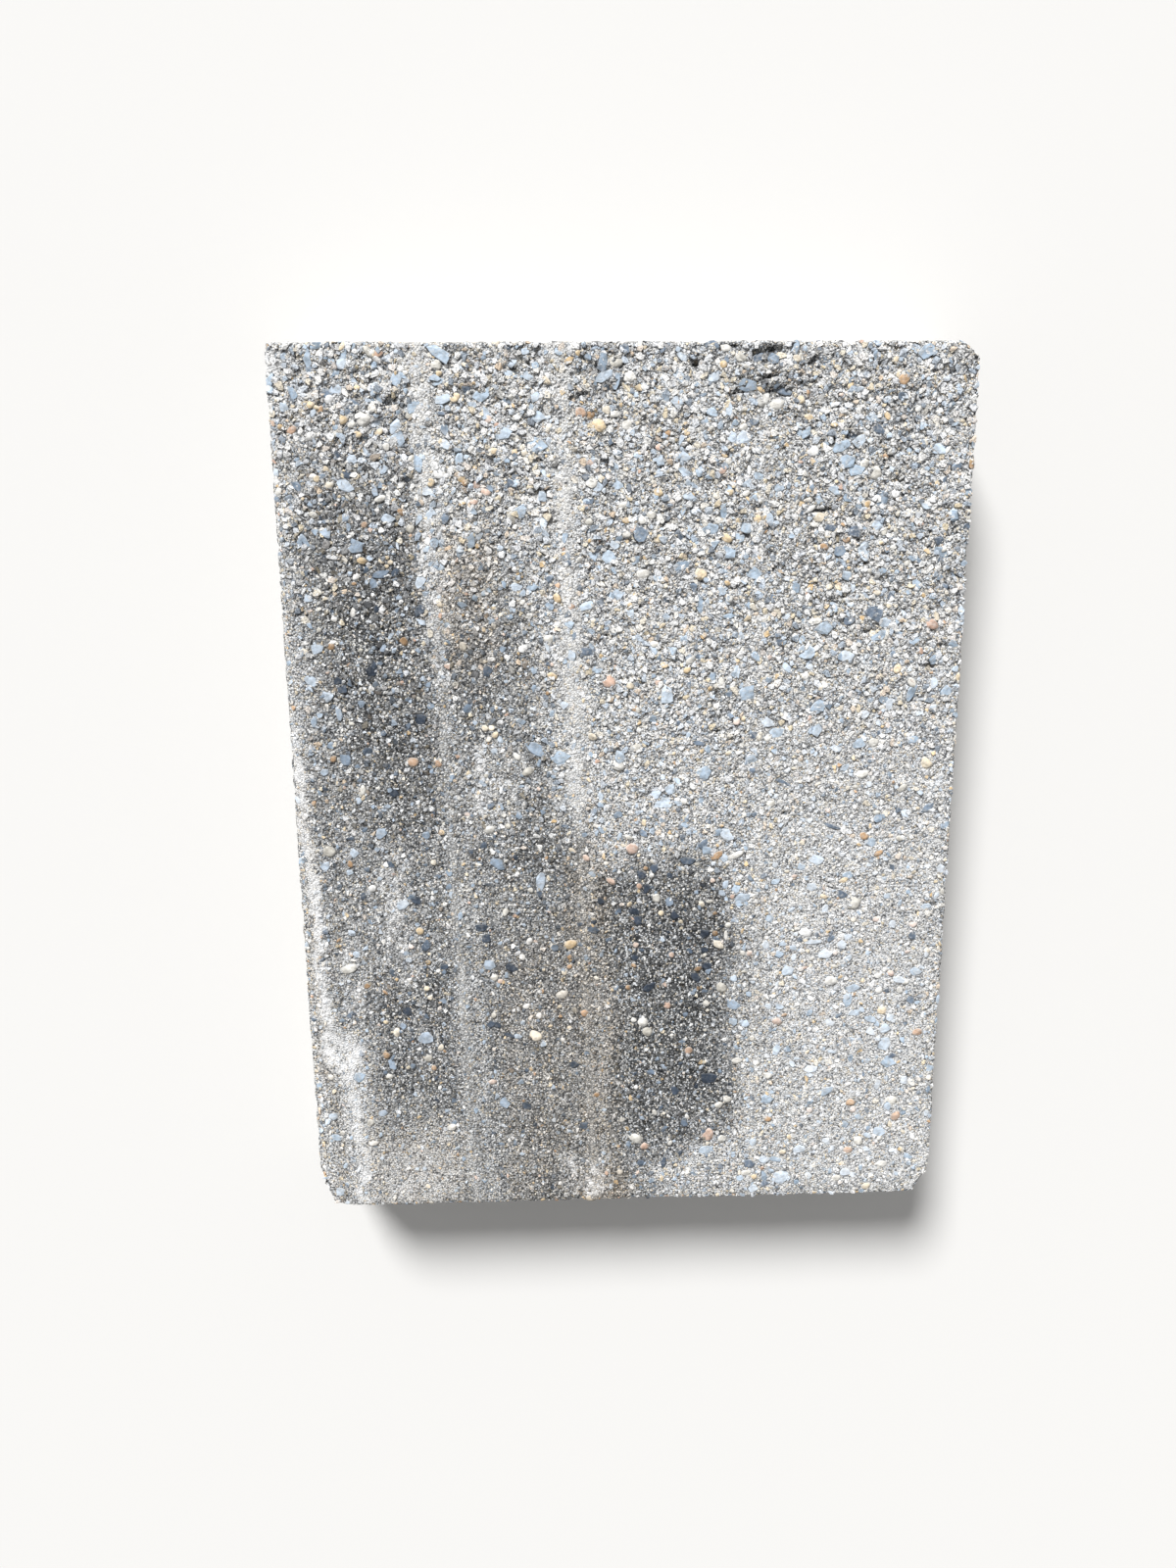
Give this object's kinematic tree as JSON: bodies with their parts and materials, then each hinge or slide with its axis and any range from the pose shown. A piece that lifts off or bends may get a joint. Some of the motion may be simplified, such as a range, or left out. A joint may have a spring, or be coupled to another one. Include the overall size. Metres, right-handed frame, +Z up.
{
  "type": "concrete paving stone",
  "caption": "Flat rectangular concrete paving slab lying on its wearing face, rough bed face up, with low fins, a broken long arris and knocked corners.",
  "frame": {"origin": "middle of the wearing face, which the slab lies on", "axes": "+X across the slab, +Y along it towards the end with the worn round corner, +Z up out of the rough bed face"},
  "size_m": [0.3, 0.4, 0.0608],
  "materials": {
    "concrete": "rough"
  },
  "bodies": {
    "root": {"slab": "concrete"}
  },
  "joints": []
}
